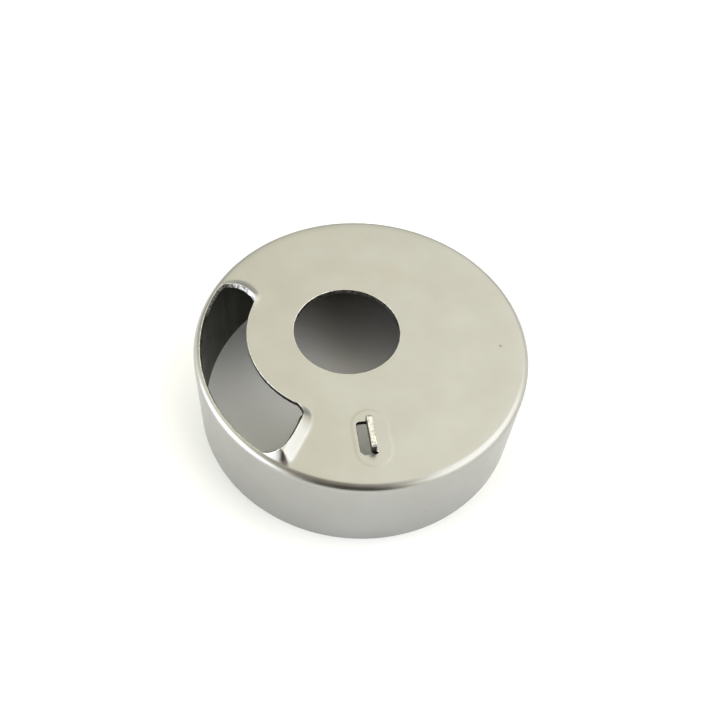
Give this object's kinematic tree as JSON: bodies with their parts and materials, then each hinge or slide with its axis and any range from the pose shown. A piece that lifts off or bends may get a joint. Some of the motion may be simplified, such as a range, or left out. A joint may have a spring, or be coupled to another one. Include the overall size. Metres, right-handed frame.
{
  "type": "bobbin case",
  "caption": "Drawn sheet-steel bobbin case: a shallow cup with an off-centre hole, a crescent window with turned-up ends and a thread eye beside a raised tongue.",
  "frame": {"origin": "centre of the rim plane, on the axis of the cup, where the case rests open side down", "axes": "+Z along the cup's axis, out through the flat end; -Y towards the thread eye; -X towards the crescent window"},
  "size_m": [0.05, 0.05, 0.017],
  "materials": {
    "satin_steel": "fine satin polish, slightly warm, faintly mottled"
  },
  "bodies": {
    "root": {"bobbin_case_shell": "satin_steel"}
  },
  "joints": []
}
